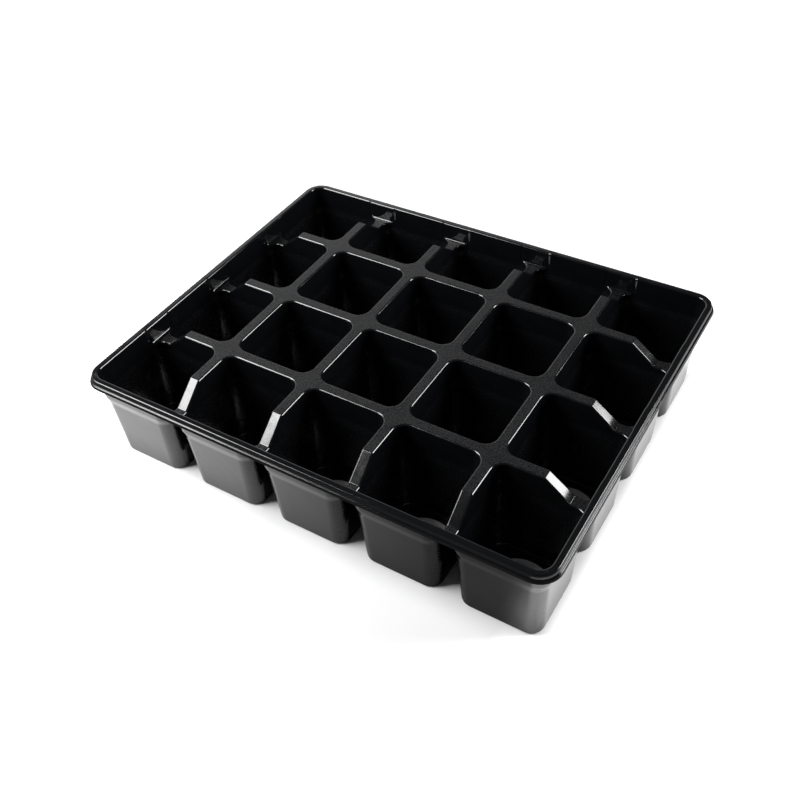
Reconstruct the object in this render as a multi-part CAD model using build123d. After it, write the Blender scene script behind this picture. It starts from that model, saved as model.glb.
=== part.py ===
"""Thermoformed carrier tray for twenty plant pots, five cells by four.

One plastic sheet is drawn down into twenty square cells with rounded corners. What stays up between the
cells is a grid of flat webs, level with the rim. Where a web comes to the side of the tray, its top slopes
down to a low saddle, so that the side wall stands free above it. The rim turns down in a short skirt, steps
out in a ledge and ends in a lip. Each cell has a large round hole in its floor.

Millimetres. The origin is at the middle of the tray's footprint, on the surface that it stands on. X runs
along the side with five cells, Y along the side with four, Z up.
"""

from build123d import *
from math import atan2, tan
import os

# Grid of cells
columns = 5
rows = 4
pitch = 80.0
height = 82.4
sheet = 1.0

# Cell: the web between two mouths, how far each wall leans in on its way down, the corners of the plan
# and what the round hole leaves of the floor beside each wall
web = 9.4
wall_lean = 4.2
cell_corner = 10.0
floor_ledge = 6.1

# End of a web, from the centre line of the outer cells
slope_start = 0.8
slope_run = 20.0
saddle_depth = 16.0
wall_inset = 0.3

# Rim, outside the mouths of the outer cells
rim_flat = 5.5
skirt_drop = 4.2
ledge_width = 2.3
lip_drop = 2.1

# How far a cut runs past the face that it opens
overrun = 1.0

# Worked out from the sizes above
mouth_half = (pitch - web) / 2
floor_half = mouth_half - wall_lean
floor_depth = height - sheet
draft = wall_lean / floor_depth


def slab(outside, top, bottom):
    """A rounded block over all the cells, its sides a distance outside the mouths of the outer cells."""
    length = (columns - 1) * pitch + 2 * (mouth_half + outside)
    width = (rows - 1) * pitch + 2 * (mouth_half + outside)
    outline = RectangleRounded(length, width, cell_corner + outside)
    return extrude(Pos(0, 0, height - bottom) * outline, bottom - top)


def rim_and_plate():
    """The plate at the level of the webs, closed over the cells for now, with skirt, ledge and lip."""
    lip_depth = skirt_drop + lip_drop
    top = slab(rim_flat, 0, skirt_drop)
    lip = slab(rim_flat + ledge_width, skirt_drop, lip_depth)
    under_top = slab(rim_flat - sheet, sheet, lip_depth + overrun)
    under_ledge = slab(rim_flat + ledge_width - sheet, skirt_drop + sheet, lip_depth + overrun)
    return top + lip - under_top - under_ledge


def cell_block(outside, top, bottom):
    """One cell as a solid with drafted walls, a distance outside its inner face, between two depths.

    It is drawn lying down, its mouth towards -Y and its floor towards +Y, and then stood up.
    """
    mouth = 2 * (mouth_half + outside - draft * top)
    depth = bottom - top
    lean = draft * depth
    block = Wedge(mouth, depth, mouth, lean, lean, mouth - lean, mouth - lean)
    corners = block.edges() - block.faces().filter_by(Axis.Y).edges()
    return Pos(0, 0, height - (top + bottom) / 2) * Rot(-90, 0, 0) * fillet(corners, cell_corner + outside)


def web_end_block(below, ceiling):
    """The space over a web's slope and saddle, or that space grown by the sheet below it and behind it.

    Its side view is drawn along X from the centre of an outer cell. It is as wide as the web with the
    corners of the cells on both sides.
    """
    slope = atan2(saddle_depth, slope_run)
    start = slope_start - below * tan(slope / 2)
    saddle = saddle_depth + below
    wall = mouth_half - wall_inset + below
    side_view = Polyline(
        (start, -ceiling),
        (start, -below),
        (start + slope_run, -saddle),
        (wall - draft * saddle, -saddle),
        (wall - draft * ceiling, -ceiling),
        close=True,
    )
    return extrude(Plane.XZ * make_face(side_view), web / 2 + cell_corner, both=True)


def web_end_places():
    """Where the webs meet the rim: row webs on the right and left, column webs at the back and front."""
    places = []
    for turn, cells_along, cells_across in ((0, columns, rows), (90, rows, columns)):
        reach = (cells_along - 1) / 2 * pitch
        for side in (turn, turn + 180):
            for line in range(1, cells_across):
                offset = (line - cells_across / 2) * pitch
                places.append(Rot(0, 0, side) * Pos(reach, offset, height))
    return places


def floor_hole():
    """The round hole's cutter, standing through the floor."""
    return Pos(0, 0, -overrun) * extrude(Circle(floor_half - floor_ledge), sheet + 2 * overrun)


def tray():
    """The sheet: all that lies within its outer face, less all that lies within its inner face."""
    cells = GridLocations(pitch, pitch, columns, rows).locations
    ends = web_end_places()
    outer_cell = cell_block(sheet, 0, height)
    outer_end = web_end_block(sheet, sheet / 2)
    inner_cell = cell_block(0, -overrun, floor_depth)
    inner_end = web_end_block(0, -overrun)
    outside = [cell * outer_cell for cell in cells] + [end * outer_end for end in ends]
    inside = [cell * inner_cell for cell in cells] + [end * inner_end for end in ends]
    holes = [cell * floor_hole() for cell in cells]
    return rim_and_plate() + outside - inside - holes


os.makedirs("parts", exist_ok=True)
export_step(tray(), "parts/tray.step")
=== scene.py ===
# %% [markdown]
# # A drawn plastic tray for twenty plant pots
# The real tray is one black sheet, heated and drawn down over a mould. This lesson dresses its plain solid
# model: the sheet is worked out again with the small roundings that the mould gives it, and it gets a
# plastic finish, soft studio light and the photograph's viewpoint. The first cell loads the solid model,
# which is the fixed frame that everything is placed in. Lengths are in millimetres until the mesh is made.

# %% Load the fixed frame
import math

import bpy
import numpy as np
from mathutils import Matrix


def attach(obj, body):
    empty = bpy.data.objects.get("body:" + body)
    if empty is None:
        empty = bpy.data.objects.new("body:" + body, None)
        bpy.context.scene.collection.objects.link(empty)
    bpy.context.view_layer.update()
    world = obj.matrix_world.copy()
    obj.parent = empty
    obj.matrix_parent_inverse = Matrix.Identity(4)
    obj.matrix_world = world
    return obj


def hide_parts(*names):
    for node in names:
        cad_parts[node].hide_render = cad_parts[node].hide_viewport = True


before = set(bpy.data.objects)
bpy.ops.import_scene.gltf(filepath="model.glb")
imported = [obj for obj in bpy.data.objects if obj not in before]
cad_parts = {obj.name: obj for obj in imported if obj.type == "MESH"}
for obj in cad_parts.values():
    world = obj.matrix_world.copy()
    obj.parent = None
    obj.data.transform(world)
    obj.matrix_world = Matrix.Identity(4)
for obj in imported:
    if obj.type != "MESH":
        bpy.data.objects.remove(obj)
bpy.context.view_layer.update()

# %% [markdown]
# ## The sizes of the sheet
# These are the driving sizes of the solid model, with the finer ones that only the mould knows: where the
# cell walls change their draft in a narrow shoulder, and how round each edge comes out. A drawn sheet has
# no sharp edge: where it passes over an edge of the mould, its upper face is rounder than its lower face by
# the sheet's thickness.

# %% Sizes in millimetres
columns, rows, pitch = 5, 4, 80.0
height, sheet = 82.4, 1.0
mouth = 35.3
cell_corner = 10.0
floor_depth = 81.4
hole_radius = 25.0

# Depths of both ends of the shoulder, and half the inner width of a cell there and at the floor
shoulder_top, shoulder_foot = 21.5, 27.5
half_at_shoulder_top, half_at_shoulder_foot, half_at_floor = 34.8, 33.4, 31.1
shoulder_softness = 0.8

# The end of a web, from the centre line of the outer cell: where its slope starts, how far it runs and
# falls, and how far the side wall over the saddle stands in from the cell walls
slope_start, slope_run, saddle_depth, wall_inset = 0.8, 20.0, 16.0, 0.3
slope = math.atan2(saddle_depth, slope_run)

# The space over a web's end goes no further from the web than to this distance from the cell's middle
notch_side = 27.0

# The rim, outside the mouths of the outer cells
rim_flat, skirt_drop, ledge_width, lip_drop = 5.5, 4.2, 2.3, 2.1
lip_out = rim_flat + ledge_width
lip_end = skirt_drop + lip_drop

# The skirt and the lip lean outwards on their way down, so each starts nearer to the cells than it ends
skirt_top, skirt_foot, lip_top = rim_flat - 0.1, rim_flat + 0.4, lip_out - 0.95
skirt_lean = (skirt_foot - skirt_top) / skirt_drop
lip_lean = (lip_out - lip_top) / lip_drop

# Radius of each rounding of the upper face: webs and mouths, floors, rim, skirt's foot, lip's edge
edge_round, foot_round, rim_round, step_round, lip_round = 1.5, 1.0, 1.2, 0.4, 0.6
half_pitch = pitch / 2
print("web between two cells", pitch - 2 * mouth, "mm wide")

# %% [markdown]
# ## Spaces of air as distances
# The upper face of the sheet could be modelled with bevels, but bevels of different sizes meet badly where
# a web, a saddle and a wall come together. So the air above the sheet is described by distances instead:
# each space of air gives every point a distance that is positive inside the plastic, and the direction into
# the plastic. Two spaces are joined with a rounding of a known radius, just as the sheet bends over the
# mould. Only a quarter of one cell is needed, with x and y from 0 at its centre to half a pitch, and z from
# 0 at the web tops downwards.

# %% Walls and planes
def half_width(z):
    """Half the inner width of a cell at height z, and how fast it changes with z.

    Three straight drafts, where each change of draft adds a ramp (t + sqrt(t^2 + softness^2)) / 2 of the
    depth t below it, so that the bend is a soft one.
    """
    upper = (mouth - half_at_shoulder_top) / shoulder_top
    middle = (half_at_shoulder_top - half_at_shoulder_foot) / (shoulder_foot - shoulder_top)
    lower = (half_at_shoulder_foot - half_at_floor) / (floor_depth - shoulder_foot)
    width, change = mouth + upper * z, upper + 0 * z
    for depth, turn in ((shoulder_top, middle - upper), (shoulder_foot, lower - middle)):
        t = -depth - z
        root = np.sqrt(t * t + shoulder_softness**2)
        width = width - turn * (t + root - np.sqrt(depth**2 + shoulder_softness**2) + depth) / 2
        change = change + turn * (1 + t / root) / 2
    return width, change


def rounded_square(p, half, change, corner):
    """Distance beyond the sides of an upright tube whose plan is a square with rounded corners.

    The point's offset from the corner's centre is (x - c, y - c) with c = half - corner. Outside it the
    distance is the offset's length less the corner radius, and beside it the larger of the two offsets less
    that radius.
    """
    qx, qy = p[..., 0] - (half - corner), p[..., 1] - (half - corner)
    ox, oy = np.maximum(qx, 0), np.maximum(qy, 0)
    out = np.hypot(ox, oy)
    d = out + np.minimum(np.maximum(qx, qy), 0) - corner
    beyond = out > 0
    safe = np.where(beyond, out, 1)
    nx = np.where(beyond, ox / safe, qx > qy)
    ny = np.where(beyond, oy / safe, qx <= qy)
    n = np.stack([nx, ny, -change * (nx + ny)], axis=-1)
    length = np.linalg.norm(n, axis=-1)
    return d / length, n / length[..., None]


def plane(p, direction, offset):
    """Distance of a point along a direction, past a plane that lies an offset from the centre."""
    n = np.broadcast_to(np.array(direction, float), p.shape)
    return (p * n).sum(-1) - offset, n


# %% [markdown]
# ## Joining two spaces with a rounding
# Where two spaces of air join, the plastic between them has an outward edge, and a ball of the rounding's
# radius rolls inside that edge. Where two spaces only meet in their common part, the plastic has an inward
# corner, which is the same rounding with inside and outside changed over.

# %% Rounded join and meet
parallel, guard = 0.9999, 1e-12


def join(a, b, radius):
    """Joined air of two spaces, each a pair of distance and direction.

    With da and db the two distances and c the cosine between the two directions, the ball's centre is
    ga = radius - da and gb = radius - db away along them, so its reach is
    sqrt((ga^2 + gb^2 - 2 c ga gb) / (1 - c^2)). The distance is the radius less the reach where both shares
    are positive, and the smaller one elsewhere, also where the two directions are all but parallel.
    """
    (da, na), (db, nb) = a, b
    c = (na * nb).sum(-1)
    ga, gb = radius - da, radius - db
    share_a, share_b = ga - c * gb, gb - c * ga
    s2 = np.maximum(1 - c * c, guard)
    inside = (share_a > 0) & (share_b > 0) & (np.abs(c) < parallel)
    reach = np.sqrt(np.maximum((ga * ga + gb * gb - 2 * c * ga * gb) / s2, guard))
    blended = (share_a[..., None] * na + share_b[..., None] * nb) / (s2 * reach)[..., None]
    nearer = (da < db)[..., None]
    d = np.where(inside, radius - reach, np.minimum(da, db))
    return d, np.where(inside[..., None], blended, np.where(nearer, na, nb))


def meet(a, b, radius):
    """Common air of two spaces: the join of the two plastics."""
    d, n = join((-a[0], -a[1]), (-b[0], -b[1]), radius)
    return -d, -n


def sharp_meet(a, b):
    """Common air of two spaces with no rounding: the larger distance."""
    first = a[0] > b[0]
    return np.where(first, a[0], b[0]), np.where(first[..., None], a[1], b[1])


# %% [markdown]
# ## The three kinds of quarter cell
# A quarter cell has a web or the rim on each of its two outer sides. Twenty cells make 80 quarters, of
# three kinds: web and web (48), web and rim (28), rim and rim (4). Where a web runs into the rim, the air
# dips into it along a slope to a low saddle, in front of the side wall. The rim adds its skirt, ledge and
# lip outside the mouth.

# %% Upper face of each kind
def pocket(p):
    """The air inside a cell: within its walls and above its floor."""
    half, change = half_width(p[..., 2])
    walls = rounded_square(p, half, change, cell_corner)
    return meet(walls, plane(p, (0, 0, -1), floor_depth), foot_round)


def notch(p):
    """The air over the end of a web, which runs along y at x = half a pitch."""
    fall = (0, -math.sin(slope), -math.cos(slope))
    over_slope = plane(p, fall, -slope_start * math.sin(slope))
    over_saddle = plane(p, (0, 0, -1), saddle_depth)
    half, change = half_width(p[..., 2])
    n = np.stack([0 * half, 1 + 0 * half, -change], axis=-1)
    length = np.linalg.norm(n, axis=-1)
    before_wall = ((p[..., 1] - half + wall_inset) / length, n / length[..., None])
    low = meet(over_slope, over_saddle, edge_round)
    return sharp_meet(meet(low, before_wall, edge_round), plane(p, (-1, 0, 0), -notch_side))


def outside_rim(p, kind):
    """The air round the tray: outside the skirt and above the ledge, and outside the lip.

    A wall that leans by lean per millimetre of depth stands at start + lean (depth - its top's depth) from
    the mouth, and a point's distance from it is that place less the point's own, over sqrt(1 + lean^2).
    """
    if kind == "corner":
        beyond, n = rounded_square(p, mouth, 0, cell_corner)
    else:
        beyond, n = plane(p, (0, 1, 0), mouth)
    walls = []
    for start, depth, lean in ((skirt_top, 0, skirt_lean), (lip_top, skirt_drop, lip_lean)):
        length = math.hypot(1, lean)
        away = start + lean * (-p[..., 2] - depth) - beyond
        walls.append((away / length, (-n - [0, 0, lean]) / length))
    skirt, lip = walls
    return meet(skirt, plane(p, (0, 0, -1), skirt_drop), step_round), lip


def upper_face(p, kind):
    """Distance of a point into the plastic from the sheet's upper face, and the direction into it."""
    air = plane(p, (0, 0, -1), 0)
    if kind == "side":
        air = join(air, notch(p), edge_round)
    air = join(air, pocket(p), edge_round)
    if kind != "middle":
        step, lip = outside_rim(p, kind)
        air = join(join(air, step, rim_round), lip, lip_round)
    return air


# %% [markdown]
# ## A grid of starting points
# Each quarter is a grid: its columns run from the edge of the floor's hole outwards over floor, wall and
# web, and its rows follow the mouth of the cell round its corner. The starting points lie on the sharp
# shape, closer together where a rounding will be, and then each one is moved along its direction until its
# distance is nothing. That puts every point on the rounded face exactly, and gives the face's true
# direction there for smooth shading.

# %% Columns of a quarter
# A wide rounding has three starting points on each of its two faces and a narrow one two. They lie at these
# shares of its radius from the sharp edge, so that they settle at nearly even turns of the arc.
near_share = 0.423
wide_shares = np.array([1, 0.732, near_share])
narrow_shares = np.array([1, 0.586])

# Where a cell wall bends at the shoulder it has one row above, one at and one below the bend. The rows that
# have no rounding to follow, on a wall that runs straight up to the rim, are spread between fixed heights.
bend_gap = 1.5
mid_wall = -54.0
plain_lower = (-19.0, -13.0)
plain_upper = (-12.0, -10.5)

# A rounding takes up no more than this share of the room that it has, and each round corner has this many
# steps: all of it, up to the middle of the web, and from there to the wall over a saddle
edge_limit = 0.45
arc_steps, steps_to_middle, steps_to_wall = 8, 4, 5
tiny = 1e-6
notch_foot = half_width(np.array(-saddle_depth))[0]
saddle_centre = notch_foot - cell_corner
wall_face = notch_foot - wall_inset
turn_to_wall = math.asin((cell_corner - wall_inset) / cell_corner)
turn_to_middle = math.atan2(wall_face - saddle_centre, half_pitch - saddle_centre)


def make_columns(kind):
    """Plan angle, place along the straight side, top edge and slope of each column of a quarter.

    A column at angle 0 stands on the side across x and one at a right angle on the side across y. The place
    is a share of the straight half side, 1 at the corner's arc. The top edge is the depth of the web beside
    it.
    """
    quarter = math.pi / 2
    thirds = np.linspace(0, 1, 4)
    arc = np.linspace(0, quarter, arc_steps + 1)[1:-1]
    if kind != "side":
        angle = np.concatenate([0 * thirds, arc, quarter + 0 * thirds])
        place = np.concatenate([thirds, 1 + 0 * arc, thirds[::-1]])
        return angle, place, 0 * angle, 0 * angle
    bend = edge_round * math.tan(slope / 2)
    start, end = slope_start, slope_start + slope_run
    along = np.array([0, start - bend, start, start + bend, start + slope_run / 3, start + slope_run * 2 / 3,
                      end - bend, end, end + bend, saddle_centre])
    arc = np.concatenate([np.linspace(0, turn_to_middle, steps_to_middle + 1)[1:],
                          np.linspace(turn_to_middle, turn_to_wall, steps_to_wall + 1)[1:],
                          [(turn_to_wall + quarter) / 2]])
    top = np.clip((along - start) * math.tan(slope), 0, saddle_depth)
    on_slope = (along > start) & (along < end)
    centre = half_width(-top)[0] - cell_corner
    angle = np.concatenate([0 * along, arc, quarter + 0 * thirds])
    place = np.concatenate([along / centre, 1 + 0 * arc, thirds[::-1]])
    depth = np.concatenate([top, saddle_depth + 0 * arc, 0 * thirds])
    tilt = np.concatenate([np.where(on_slope, slope, 0), 0 * arc, 0 * thirds])
    return angle, place, depth, tilt


def on_wall(angle, place, z, out):
    """The point of a column at height z, a distance outside the wall.

    It is the arc's centre c, with the place times c on a straight side, plus (corner + out) along the angle.
    """
    centre = half_width(z)[0] - cell_corner
    ux = np.where(angle < math.pi / 2, 1, place)
    uy = np.where(angle > 0, 1, place)
    x = centre * ux + (cell_corner + out) * np.cos(angle)
    y = centre * uy + (cell_corner + out) * np.sin(angle)
    return np.stack([x, y, z + 0 * x], axis=-1)


# %% Rows from the hole to the web's middle line
def web_room(angle, kind, depth):
    """How far a column runs on outside the wall: to the web's middle, or to the wall over a saddle."""
    centre = half_width(-depth)[0] - cell_corner
    to_side = np.maximum(np.cos(angle), np.sin(angle)) if kind != "side" else np.cos(angle)
    room = (half_pitch - centre) / np.maximum(to_side, tiny)
    if kind == "side":
        to_wall = (cell_corner - wall_inset) / np.maximum(np.sin(angle), tiny)
        room = np.minimum(room, to_wall)
    return room - cell_corner


def inner_rows(kind):
    """Starting points from the floor's hole to the web's middle line, as an array of rows and columns."""
    angle, place, depth, tilt = make_columns(kind)
    count = len(angle)
    turn = np.linspace(0, math.pi / 2, count)
    floor = 0 * angle - floor_depth
    hole = np.stack([hole_radius * np.cos(turn), hole_radius * np.sin(turn), floor], axis=-1)
    rows_out = [hole]
    for out in (-foot_round, -near_share * foot_round):
        rows_out.append(on_wall(angle, place, floor, out))
    for up in (near_share * foot_round, foot_round):
        rows_out.append(on_wall(angle, place, floor + up, 0))
    bends = [-depth_of_bend + gap for depth_of_bend in (shoulder_foot, shoulder_top)
             for gap in (-bend_gap, 0, bend_gap)]
    for z in (mid_wall, *bends):
        rows_out.append(on_wall(angle, place, z + 0 * angle, 0))

    rim_side = angle > turn_to_wall - tiny if kind == "side" else np.full(count, kind == "corner")
    room = np.where(rim_side, 1, web_room(angle, kind, depth))
    edge = np.minimum(edge_round, edge_limit * room)
    rest = []
    for share in wide_shares:
        rest.append((-depth - share * edge / np.cos(tilt), 0 * edge))
    for share in (0, *wide_shares[::-1]):
        rest.append((-depth, share * edge))
    for share in (*wide_shares[[0, 2]], 0):
        rest.append((-depth, room - share * edge))
    plain = np.linspace(*plain_lower, len(rest))
    for (z, out), z_plain in zip(rest, plain):
        z, out = np.where(rim_side, z_plain, z), np.where(rim_side, 0, out)
        rows_out.append(on_wall(angle, place, z, out))
    return np.stack(rows_out)


# %% Rows from there up to the rim and down to the lip
def outer_rows(kind, first):
    """Starting points above the saddle and on the rim, for the columns that reach it.

    A column at the foot of the wall over a saddle keeps its share of the way from the middle of the web to
    the wall's edge, x = half_pitch - share (half_pitch - edge). Outside the mouth every point lies a
    distance straight out from it.
    """
    angle, place = (a[first:] for a in make_columns(kind)[:2])
    ring = inner_rows(kind)[-1, first:]
    over_saddle = angle < turn_to_wall - tiny if kind == "side" else np.full(len(angle), False)
    edge_share = math.cos(turn_to_wall) * cell_corner
    share = (half_pitch - ring[:, 0]) / (half_pitch - saddle_centre - edge_share)

    def standing(z, out):
        z = z + 0 * angle
        wall = on_wall(angle, place, z, out)
        half = half_width(z)[0]
        x = half_pitch - share * (half_pitch - (half - cell_corner) - edge_share)
        notch_wall = np.stack([x, half - wall_inset + out, z], axis=-1)
        return np.where(over_saddle[:, None], notch_wall, wall)

    rows_out = []
    for rise, plain in zip((near_share, 1), plain_upper):
        rows_out.append(standing(np.where(over_saddle, rise * edge_round - saddle_depth, plain), 0))
    for share_down in wide_shares:
        rows_out.append(standing(-share_down * edge_round, 0))
    top = standing(0, 0)
    rows_out.append(top)
    away = np.stack([np.cos(angle), np.sin(angle), 0 * angle], axis=-1)
    if kind == "side":
        away = np.broadcast_to([0.0, 1.0, 0.0], top.shape)
    for share_out in wide_shares[::-1]:
        rows_out.append(top + share_out * edge_round * away)

    mouth_line = on_wall(angle, place, 0 * angle, 0)
    if kind == "side":
        mouth_line = np.stack([top[:, 0], mouth + 0 * angle, 0 * angle], axis=-1)
    down = np.array([0, 0, -1.0])
    profile = [(skirt_top - s * rim_round, 0) for s in (*wide_shares, 0)]
    profile += [(skirt_top, s * rim_round) for s in wide_shares[::-1]]
    profile += [(skirt_foot, skirt_drop - s * step_round) for s in narrow_shares]
    profile += [(skirt_foot + s * step_round, skirt_drop) for s in (0, *narrow_shares[::-1])]
    profile += [(lip_top - s * lip_round, skirt_drop) for s in narrow_shares]
    profile += [(lip_top, skirt_drop + s * lip_round) for s in (0, *narrow_shares[::-1])]
    profile += [(lip_out, lip_end)]
    for out, drop in profile:
        rows_out.append(mouth_line + out * away + drop * down)
    return np.stack(rows_out)


# %% [markdown]
# ## Moving the points onto the face
# One step moves a point by its distance, against its direction. Where two roundings overlap, the distance
# is not quite exact, so a few steps are taken. The lower face of the sheet needs no grid of its own: it
# lies one thickness along the same direction.

# %% Settle the points
settling_steps = 8


def settle(p, kind):
    """Moves points along their directions until their distance to the upper face is nothing."""
    for _ in range(settling_steps):
        d, n = upper_face(p, kind)
        p = p - d[..., None] * n
    d, n = upper_face(p, kind)
    return p, n, np.abs(d).max()


quarters = {}
for kind in ("middle", "side", "corner"):
    inner, inner_into, error = settle(inner_rows(kind), kind)
    first = inner.shape[1] if kind == "middle" else 0
    if kind == "side":
        first = int(np.argmin(np.abs(make_columns(kind)[0] - turn_to_middle)))
    outer, outer_into = inner[-1:, first:], inner_into[-1:, first:]
    if kind != "middle":
        more, more_into, error_out = settle(outer_rows(kind, first), kind)
        outer = np.concatenate([outer, more])
        outer_into = np.concatenate([outer_into, more_into])
        error = max(error, error_out)
    quarters[kind] = ((inner, inner_into), (outer, outer_into))
    print(kind, "quarter", inner.shape[:2], "and", outer.shape[:2], "with an error of", f"{error:.6f}", "mm")

# %% [markdown]
# ## Laying out eighty quarters
# The quarters are flipped and swapped into place round each cell, and neighbours share their border points,
# which are then merged. Both faces of the sheet are made, and narrow strips close it at the holes and under
# the lip. The result is one closed skin, as the real sheet is.

# %% Faces of one grid
def grid_faces(shape, offset):
    """Corner numbers of the faces of a grid of rows and columns, whose front looks out of the plastic."""
    n_rows, n_columns = shape
    number = offset + np.arange(n_rows * n_columns).reshape(n_rows, n_columns)
    low, high = number[:-1], number[1:]
    return np.stack([low[:, :-1], high[:, :-1], high[:, 1:], low[:, 1:]], axis=-1).reshape(-1, 4)


def patch(kind):
    """Points, faces and corner directions of one quarter, with both faces of the sheet and its strips."""
    (inner, inner_into), (outer, outer_into) = quarters[kind]
    points = np.concatenate([inner.reshape(-1, 3), outer.reshape(-1, 3)])
    into = np.concatenate([inner_into.reshape(-1, 3), outer_into.reshape(-1, 3)])
    count = len(points)
    faces = [grid_faces(inner.shape[:2], 0)]
    if kind != "middle":
        faces.append(grid_faces(outer.shape[:2], inner.shape[0] * inner.shape[1]))
    upper = np.concatenate(faces)
    lower = upper[:, ::-1] + count
    directions = [-into[upper], into[upper[:, ::-1]]]

    ring = np.arange(inner.shape[1])
    hole = np.stack([ring[:-1], ring[1:], ring[1:] + count, ring[:-1] + count], axis=-1)
    middle_out = -points[hole % count] * [1, 1, 0]
    directions.append(middle_out / np.linalg.norm(middle_out, axis=-1)[..., None])
    strips = [hole]
    if kind != "middle":
        last = count - outer.shape[1] + np.arange(outer.shape[1])
        lip = np.stack([last[:-1], last[:-1] + count, last[1:] + count, last[1:]], axis=-1)
        strips.append(lip)
        directions.append(np.broadcast_to([0.0, 0.0, -1.0], lip.shape + (3,)))
    both = np.concatenate([points, points + sheet * into])
    return both, np.concatenate([upper, lower, *strips]), np.concatenate(directions)


# %% Place the quarters
def placed(kind, cell, sides, swap):
    """One quarter moved to its cell: axes swapped if the rim is across x, then flipped by the two signs."""
    points, faces, directions = patches[kind]
    if swap:
        points, directions = points[:, [1, 0, 2]], directions[..., [1, 0, 2]]
    signs = np.array([*sides, 1])
    points, directions = points * signs + [*cell, 0], directions * signs
    if sides[0] * sides[1] * (-1 if swap else 1) < 0:
        faces, directions = faces[:, ::-1], directions[:, ::-1]
    return points, faces, directions


patches = {kind: patch(kind) for kind in quarters}
all_points, all_faces, all_directions, total = [], [], [], 0
for i in range(columns):
    for j in range(rows):
        cell = ((i - (columns - 1) / 2) * pitch, (j - (rows - 1) / 2) * pitch)
        for side_x in (-1, 1):
            for side_y in (-1, 1):
                rim_x = i == (columns - 1 if side_x > 0 else 0)
                rim_y = j == (rows - 1 if side_y > 0 else 0)
                kind = "corner" if rim_x and rim_y else "side" if rim_x or rim_y else "middle"
                p, f, d = placed(kind, cell, (side_x, side_y), rim_x and not rim_y)
                all_points.append(p)
                all_faces.append(f + total)
                all_directions.append(d)
                total += len(p)
all_points, all_faces = np.concatenate(all_points), np.concatenate(all_faces)
all_directions = np.concatenate(all_directions)

# %% Merge the shared points
# Points are the same where they fall in the same small cube. The cubes are shifted, so that no side of a
# cube runs along the middle of the tray, where rounding errors would part equal points.
cube, shift = 0.004, 0.37
cubes = np.round(all_points / cube + shift)
_, keep, renumber = np.unique(cubes, axis=0, return_index=True, return_inverse=True)
merged, all_faces = all_points[keep], renumber.reshape(-1)[all_faces]
around = np.stack([all_faces, np.roll(all_faces, -1, axis=1)], axis=-1).reshape(-1, 2)
_, uses = np.unique(np.sort(around, axis=1), axis=0, return_counts=True)
print(len(merged), "points,", len(all_faces), "faces,", (uses != 2).sum(), "edges not shared by two faces")

# %% [markdown]
# ## The mesh
# The points go up by the tray's height, to stand it on the floor, and become metres. The true directions of
# the face are stored with the mesh, so that the narrow roundings shade as curves with only a few faces
# across them, and the wide flat faces beside them stay flat.

# %% Make the mesh
mesh = bpy.data.meshes.new("drawn_sheet")
metres = (merged + [0, 0, height]) / 1000
mesh.from_pydata(metres.tolist(), [], all_faces.tolist())
mesh.shade_smooth()
mesh.normals_split_custom_set(all_directions.reshape(-1, 3).tolist())
mesh.validate()
tray = bpy.data.objects.new("drawn_sheet", mesh)
bpy.context.scene.collection.objects.link(tray)
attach(tray, "root")
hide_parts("tray")
print("sheet of", len(mesh.vertices), "points and", 2 * len(mesh.polygons), "triangles")

# %% [markdown]
# ## Where the sheet is matt
# The soft sheet takes a fine grain from the mould where it lies flat on it. A number is stored at each
# point, from 0 for glossy to 1 for matt, and the material reads it later. Web tops and floors are matt, the
# slopes of the web ends a quarter as much, and the lower parts of the cell walls half as much, as the sheet
# is drawn thinnest there. The rim outside the cells stays glossy.

# %% Mark the matt parts
# How matt slopes and walls are, and how level a face is where slopes and where level parts set in
slope_share, wall_share = 0.25, 0.5
slope_level, full_level = (0.5, 0.7), (0.93, 0.99)

# In millimetres: the fade at the mouths, the reach beside a cell's wall, and how far below the saddles the
# matt part of the walls begins
rim_fade, wall_reach, below_saddle = 1.5, 0.4, 4.0


def ramp(value, start, end):
    """A share that goes from 0 to 1 while a value goes from start to end: (value - start) / (end - start)."""
    return np.clip((value - start) / (end - start), 0, 1)


level = np.zeros(len(merged))
level[all_faces.reshape(-1)] = np.abs(all_directions[..., 2]).reshape(-1)
grid_half = np.array([(columns - 1) / 2 * pitch + mouth, (rows - 1) / 2 * pitch + mouth])
past_mouths = (np.abs(merged[:, :2]) - grid_half).max(axis=1)
lying = slope_share * ramp(level, *slope_level) + (1 - slope_share) * ramp(level, *full_level)
lying = lying * ramp(-past_mouths, 0, rim_fade)
from_middle = np.abs((merged[:, :2] + grid_half - mouth + half_pitch) % pitch - half_pitch).max(axis=1)
in_cell = from_middle < half_width(merged[:, 2])[0] + wall_reach
low_wall = in_cell & (merged[:, 2] < -saddle_depth - below_saddle)
matt_share = np.maximum(lying, wall_share * low_wall)
mesh.attributes.new("matte", "FLOAT", "POINT").data.foreach_set("value", matt_share)
print("matt share of the points, on average", round(float(matt_share.mean()), 3))

# %% [markdown]
# ## Colours and nodes
# Colours are picked as they look on a screen and turned into the linear values that the renderer works
# with. One small helper adds a node with its settings and its links, so that a material reads as a list.

# %% Helpers for materials
def linear(code):
    """A screen colour such as 1b1c1e as linear red, green, blue and alpha.

    Each part v from 0 to 1 becomes ((v + 0.055) / 1.055)^2.4, or v / 12.92 where it is very dark.
    """
    parts = [int(code[k:k + 2], 16) / 255 for k in (0, 2, 4)]
    return (*(v / 12.92 if v <= 0.04045 else ((v + 0.055) / 1.055) ** 2.4 for v in parts), 1)


def add_node(material, kind, values=None, links=None, **settings):
    """Adds a node, sets its properties and socket values, and links sockets to outputs of other nodes."""
    node = material.node_tree.nodes.new(kind)
    for name, value in settings.items():
        setattr(node, name, value)
    for name, value in (values or {}).items():
        node.inputs[name].default_value = value
    for name, output in (links or {}).items():
        material.node_tree.links.new(output, node.inputs[name])
    return node


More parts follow.
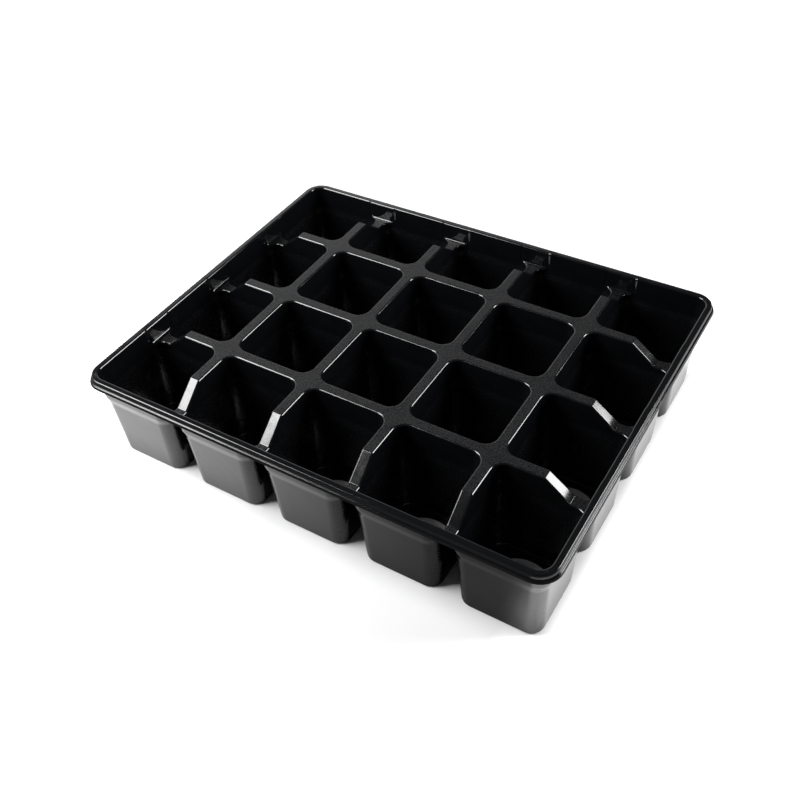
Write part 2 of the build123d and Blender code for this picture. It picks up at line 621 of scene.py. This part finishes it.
def new_material(name):
    """An empty material with nodes."""
    material = bpy.data.materials.new(name)
    material.use_nodes = True
    material.node_tree.nodes.clear()
    return material


print("a middle grey of 808080 is", round(linear("808080")[0], 3), "for the renderer")

# %% [markdown]
# ## Black polystyrene sheet
# The tray is high impact polystyrene, coloured black through and through. It comes off the mould glossy on
# walls, slopes and edges, and duller where the soft sheet lay flat on the mould, which leaves a fine
# speckle. The stored matt share steers the roughness between the two, and a noise speckles it. A mould's
# real grain is a few tenths of a millimetre, too fine to show in a picture of the whole tray, so it is
# drawn about a millimetre wide. A drawn wall is never quite flat either, so very shallow waves of about
# 18 mm bend its reflections. Both sizes are in millimetres, and a noise's scale is how many of them go into
# a metre.

# %% The sheet's finish
wave_size, wave_height = 18.182, 0.24
grain_size, grain_height = 1.1111, 0.22
gloss_roughness, matt_roughness, patch_roughness = 0.1, (0.2, 0.46), (-0.02, 0.03)
polystyrene_index = 1.59

plastic = new_material("black_polystyrene_drawn")
place = add_node(plastic, "ShaderNodeTexCoord").outputs["Object"]
matt = add_node(plastic, "ShaderNodeAttribute", attribute_name="matte").outputs["Fac"]
cloudy = add_node(plastic, "ShaderNodeTexNoise", {"Scale": 1000 / wave_size, "Detail": 4.0, "Roughness": 0.6},
                  {"Vector": place}).outputs["Fac"]
waves = add_node(plastic, "ShaderNodeTexNoise", {"Scale": 1000 / wave_size, "Detail": 1.0},
                 {"Vector": place}).outputs["Fac"]
grain = add_node(plastic, "ShaderNodeTexNoise", {"Scale": 1000 / grain_size, "Detail": 1.0},
                 {"Vector": place}).outputs["Fac"]

# Roughness: the matt value is speckled by the grain, and clouds move all of it up and down a little. A
# noise seldom leaves the middle of its range from 0 to 1, so it is read from there alone.
speckle = add_node(plastic, "ShaderNodeMapRange", {"From Min": 0.35, "From Max": 0.65,
                                                   "To Min": matt_roughness[0], "To Max": matt_roughness[1]},
                   {"Value": grain}).outputs[0]
dull = add_node(plastic, "ShaderNodeMapRange", {"To Min": gloss_roughness},
                {"Value": matt, "To Max": speckle}).outputs[0]
patchy = add_node(plastic, "ShaderNodeMapRange", {"From Min": 0.3, "From Max": 0.7,
                                                  "To Min": patch_roughness[0], "To Max": patch_roughness[1]},
                  {"Value": cloudy}).outputs[0]
roughness = add_node(plastic, "ShaderNodeMath", links={0: dull, 1: patchy}, operation="ADD").outputs[0]

# Shape: waves everywhere, and the grain on them where the sheet is more than a little matt
grain_strength = add_node(plastic, "ShaderNodeMapRange", {"From Min": 0.3, "To Min": 0.02, "To Max": 1.0},
                          {"Value": matt}).outputs[0]
wavy = add_node(plastic, "ShaderNodeBump", {"Strength": 1.0, "Distance": wave_height / 1000},
                {"Height": waves}).outputs[0]
grainy = add_node(plastic, "ShaderNodeBump", {"Distance": grain_height / 1000},
                  {"Strength": grain_strength, "Height": grain, "Normal": wavy}).outputs[0]

tone = add_node(plastic, "ShaderNodeMix", {"A": linear("08090b"), "B": linear("0e0f11")}, {"Factor": cloudy},
                data_type="RGBA").outputs["Result"]
shader = add_node(plastic, "ShaderNodeBsdfPrincipled", {"IOR": polystyrene_index},
                  {"Base Color": tone, "Roughness": roughness, "Normal": grainy})
add_node(plastic, "ShaderNodeOutputMaterial", links={"Surface": shader.outputs[0]})
mesh.materials.append(plastic)
print("material", plastic.name, "with", len(plastic.node_tree.nodes), "nodes")

# %% [markdown]
# ## The paper's painted light and shade
# The photograph stands the tray on white paper that runs on out of sight. Black plastic shows the paper as
# a dim reflection, and the photograph's rim is nearly black, so its paper can't have been lit far out. So
# part of the paper's light and shade is painted into it, on top of the lamps' light: what the plastic sees
# beyond a few centimetres is paper painted darker, a painted shade, and near the tray a painted glow
# brightens it, strongly at the left and again at the right. What the camera sees stays white. All of this
# is worked out from the place on the paper and from the kind of ray that meets it.
#
# The first cell finds how far a place lies beyond the feet of the tray, as the larger of |x| - foot_x and
# |y| - foot_y. The second gives the painted glow and the colour with its painted shade.

# %% Distance beyond the feet
foot_x, foot_y = 0.19, 0.15
soft = {"interpolation_type": "SMOOTHSTEP"}

paper = new_material("white_paper_painted_light")
spot = add_node(paper, "ShaderNodeTexCoord").outputs["Object"]
along = add_node(paper, "ShaderNodeSeparateXYZ", links={"Vector": spot}).outputs
past_sides = []
for axis, foot in (("X", foot_x), ("Y", foot_y)):
    size = add_node(paper, "ShaderNodeMath", links={0: along[axis]}, operation="ABSOLUTE").outputs[0]
    past = add_node(paper, "ShaderNodeMath", {1: foot}, {0: size}, operation="SUBTRACT").outputs[0]
    past_sides.append(past)
beyond = add_node(paper, "ShaderNodeMath", links={0: past_sides[0], 1: past_sides[1]},
                  operation="MAXIMUM").outputs[0]
rays = add_node(paper, "ShaderNodeLightPath").outputs
camera_ray = rays["Is Camera Ray"]
mirrored = add_node(paper, "ShaderNodeMath", links={0: rays["Is Glossy Ray"], 1: rays["Is Transmission Ray"]},
                    operation="MAXIMUM").outputs[0]
print("paper measured from feet of", 2 * foot_x, "by", 2 * foot_y, "m")

# %% Glow and colour of the paper
# Each fade goes from one value to another between two places, in metres beyond the feet or along x
fades = {}
for name, source, places, ends in (
        ("near", beyond, (0.06, 0.11), (1, 0)),
        ("near_right", beyond, (0.2, 0.3), (1, 0)),
        ("far", beyond, (0.12, 0.5), (0.16, 1)),
        ("outside_feet", beyond, (-0.005, 0.02), (0, 1)),
        ("left", along["X"], (-0.1, 0.12), (1, 0.2)),
        ("right", along["X"], (0.15, 0.2), (0, 1))):
    values = dict(zip(("From Min", "From Max", "To Min", "To Max"), (*places, *ends)))
    fades[name] = add_node(paper, "ShaderNodeMapRange", values, {"Value": source}, **soft).outputs[0]

# Near glow, a painted pool of light on the paper for the camera and for reflections, which also pales the
# shadows there: strong at the left, faint in the middle, back at the right
left_painted_glow = add_node(paper, "ShaderNodeMapRange", {"From Min": -0.24, "From Max": 0.0, "To Max": 0.04},
                     {"Value": along["X"], "To Min": fades["near"]}, **soft).outputs[0]
right_painted_glow = add_node(paper, "ShaderNodeMapRange", {"From Min": 0.15, "From Max": 0.2, "To Min": 0.0},
                      {"Value": along["X"], "To Max": fades["near_right"]}, **soft).outputs[0]
near_painted_glow = add_node(paper, "ShaderNodeMath", links={0: left_painted_glow, 1: right_painted_glow},
                     operation="MAXIMUM").outputs[0]
looking = add_node(paper, "ShaderNodeMath", links={0: mirrored, 1: camera_ray},
                   operation="MAXIMUM").outputs[0]
near_seen = add_node(paper, "ShaderNodeMath", links={0: near_painted_glow, 1: looking},
                     operation="MULTIPLY").outputs[0]

# Far glow, for the camera alone, and none of either under the tray and at its feet, where the shadow lies
far_seen = add_node(paper, "ShaderNodeMath", links={0: fades["far"], 1: camera_ray},
                    operation="MULTIPLY").outputs[0]
both_seen = add_node(paper, "ShaderNodeMath", links={0: near_seen, 1: far_seen},
                     operation="MAXIMUM").outputs[0]
backdrop_and_painted_glow = add_node(paper, "ShaderNodeMath", links={0: both_seen, 1: fades["outside_feet"]},
                operation="MULTIPLY").outputs[0]

# Colour with painted shade: pale near the tray at the left and right, painted darker elsewhere for
# reflections, as if that paper were unlit, and pale all over for the camera
side_share = add_node(paper, "ShaderNodeMath", links={0: fades["left"], 1: fades["right"]},
                      operation="MAXIMUM").outputs[0]
near_pale = add_node(paper, "ShaderNodeMath", links={0: fades["near"], 1: side_share},
                     operation="MULTIPLY").outputs[0]
pale = add_node(paper, "ShaderNodeMath", links={0: near_pale, 1: camera_ray}, operation="MAXIMUM").outputs[0]
# 505050 is painted shade: the paper that reflections see away from the pale places near the tray
colour = add_node(paper, "ShaderNodeMix", {"A": linear("505050"), "B": linear("eaeaea")}, {"Factor": pale},
                  data_type="RGBA").outputs["Result"]

lit = add_node(paper, "ShaderNodeBsdfDiffuse", links={"Color": colour}).outputs[0]
# The emission is painted light: the paper glows by its place and by the kind of ray, though it is no lamp
own = add_node(paper, "ShaderNodeEmission", {"Color": (1, 1, 1, 1)}, {"Strength": backdrop_and_painted_glow}).outputs[0]
both = add_node(paper, "ShaderNodeAddShader", links={0: lit, 1: own}).outputs[0]
add_node(paper, "ShaderNodeOutputMaterial", links={"Surface": both})
print("material", paper.name, "with", len(paper.node_tree.nodes), "nodes")

# %% [markdown]
# ## The floor
# A single wide plane carries the paper, and it keeps the soft shadows round the feet of the cells. It is
# part of the stage and not of the tray.

# %% Floor
floor_half = 6.0
corners = [(-floor_half, -floor_half, 0), (floor_half, -floor_half, 0),
           (floor_half, floor_half, 0), (-floor_half, floor_half, 0)]
floor_mesh = bpy.data.meshes.new("floor")
floor_mesh.from_pydata(corners, [], [(0, 1, 2, 3)])
floor_mesh.materials.append(paper)
floor = bpy.data.objects.new("floor", floor_mesh)
bpy.context.scene.collection.objects.link(floor)
print("floor", 2 * floor_half, "m wide")

# %% [markdown]
# ## Lamps
# A black glossy thing is drawn by what it reflects, so the lights are large soft boxes whose places follow
# the bright lines of the photograph: one to the left in front, which whitens the front slopes and rim, one
# to the right behind for the right-hand edges, and a low strip at the left for the outer edge of the rim.

# %% Soft boxes
aim = np.array([0, 0, 0.05])


def soft_box(name, azimuth, elevation, distance, size, power):
    """An area lamp that looks at the tray from a direction given in degrees and a distance in metres."""
    azimuth, elevation = math.radians(azimuth), math.radians(elevation)
    away = np.array([math.cos(azimuth) * math.cos(elevation), math.sin(azimuth) * math.cos(elevation),
                     math.sin(elevation)])
    lamp = bpy.data.lights.new(name, "AREA")
    lamp.shape, lamp.size, lamp.size_y = "RECTANGLE", *size
    lamp.energy = power
    box = bpy.data.objects.new(name, lamp)
    box.location = aim + distance * away
    box.rotation_euler = (math.pi / 2 - elevation, 0, azimuth + math.pi / 2)
    bpy.context.scene.collection.objects.link(box)
    print(name, "of", power, "W at", [round(place, 2) for place in box.location])


soft_box("left_front_box", azimuth=211, elevation=43, distance=1.1, size=(0.7, 0.48), power=18)
soft_box("right_back_box", azimuth=30, elevation=24, distance=1.3, size=(0.5, 0.85), power=22)
soft_box("low_left_strip", azimuth=224, elevation=13, distance=1.2, size=(0.4, 0.16), power=3)

# %% [markdown]
# ## The room
# The web tops lie level, so from the camera they mirror what stands low behind the tray. A white wall at
# the left gives them their pale tone, which fades to the right as it does in the photograph. A direction is
# on the wall when its share towards the wall is large and its height small. The rest of the room is dim,
# and the camera sees white in place of the room.

# %% Wall and room
# The wall ends softly between two heights, and sideways between two shares of the wall's direction
wall_direction = (-0.98, 0.17, 0)
wall_top, wall_side = (0.56, 0.62), (0.28, 0.62)
room_strength = 0.05

world = bpy.data.worlds.new("white_wall")
bpy.context.scene.world = world
world.use_nodes = True
world.node_tree.nodes.clear()
toward = add_node(world, "ShaderNodeTexCoord").outputs["Generated"]
upward = add_node(world, "ShaderNodeSeparateXYZ", links={"Vector": toward}).outputs["Z"]
to_wall = add_node(world, "ShaderNodeVectorMath", {1: wall_direction}, {0: toward},
                   operation="DOT_PRODUCT").outputs["Value"]
below_top = add_node(world, "ShaderNodeMapRange", {"From Min": wall_top[1], "From Max": wall_top[0]},
                     {"Value": upward}).outputs[0]
beside = add_node(world, "ShaderNodeMapRange", {"From Min": wall_side[0], "From Max": wall_side[1]},
                  {"Value": to_wall}).outputs[0]
wall = add_node(world, "ShaderNodeMath", links={0: below_top, 1: beside}, operation="MULTIPLY").outputs[0]
rays = add_node(world, "ShaderNodeLightPath").outputs
mirrored = add_node(world, "ShaderNodeMath", links={0: rays["Is Glossy Ray"], 1: rays["Is Transmission Ray"]},
                    operation="MAXIMUM").outputs[0]
wall_seen = add_node(world, "ShaderNodeMath", links={0: mirrored, 1: wall}, operation="MULTIPLY").outputs[0]
white_seen = add_node(world, "ShaderNodeMath", links={0: wall_seen, 1: rays["Is Camera Ray"]},
                      operation="MAXIMUM").outputs[0]
strength = add_node(world, "ShaderNodeMapRange", {"To Min": room_strength, "To Max": 1.0},
                    {"Value": white_seen}).outputs[0]
background = add_node(world, "ShaderNodeBackground", {"Color": (1, 1, 1, 1)}, {"Strength": strength})
add_node(world, "ShaderNodeOutputWorld", links={"Surface": background.outputs[0]})
print("room", world.name, "with", len(world.node_tree.nodes), "nodes")

# %% [markdown]
# ## Camera
# The viewpoint was worked out from the photograph: the crossings of the webs lie on a square grid, and only
# one place, direction and lens puts all of them where the photograph has them. The fit gives the focal
# length in pixels of the photograph, which a sensor of a known width turns into millimetres. The camera's
# up is tipped a little, as it was in the photograph.

# %% Camera
focal_pixels, photograph_pixels, sensor_width = 960.2, 800, 36.0
camera_place = (0.32297, -0.49480, 0.49681 + height / 1000)
camera_angles = (33.975, -43.804, -4.007)

camera_data = bpy.data.cameras.new("photograph_view")
camera_data.sensor_width = sensor_width
camera_data.lens = focal_pixels / photograph_pixels * sensor_width
camera_data.clip_start, camera_data.clip_end = 0.01, 30
camera = bpy.data.objects.new("photograph_view", camera_data)

# The camera looks along its own -z: forward first, then a level right and up, and both turned by the roll
azimuth, elevation, roll = (math.radians(angle) for angle in camera_angles)
forward = np.array([-math.sin(azimuth) * math.cos(elevation), math.cos(azimuth) * math.cos(elevation),
                    math.sin(elevation)])
level_right = np.array([math.cos(azimuth), math.sin(azimuth), 0])
level_up = np.cross(level_right, forward)
right = math.cos(roll) * level_right + math.sin(roll) * level_up
up = np.cross(right, forward)
turn = np.eye(4)
turn[:3, 0], turn[:3, 1], turn[:3, 2], turn[:3, 3] = right, up, -forward, camera_place
camera.matrix_world = turn.T.tolist()
bpy.context.scene.collection.objects.link(camera)
bpy.context.scene.camera = camera
print("lens", round(camera_data.lens, 2), "mm")

# %% [markdown]
# ## Finish
# The plain view transform keeps colours as they are written.

# %% Finish
bpy.context.scene.view_settings.view_transform = "Standard"
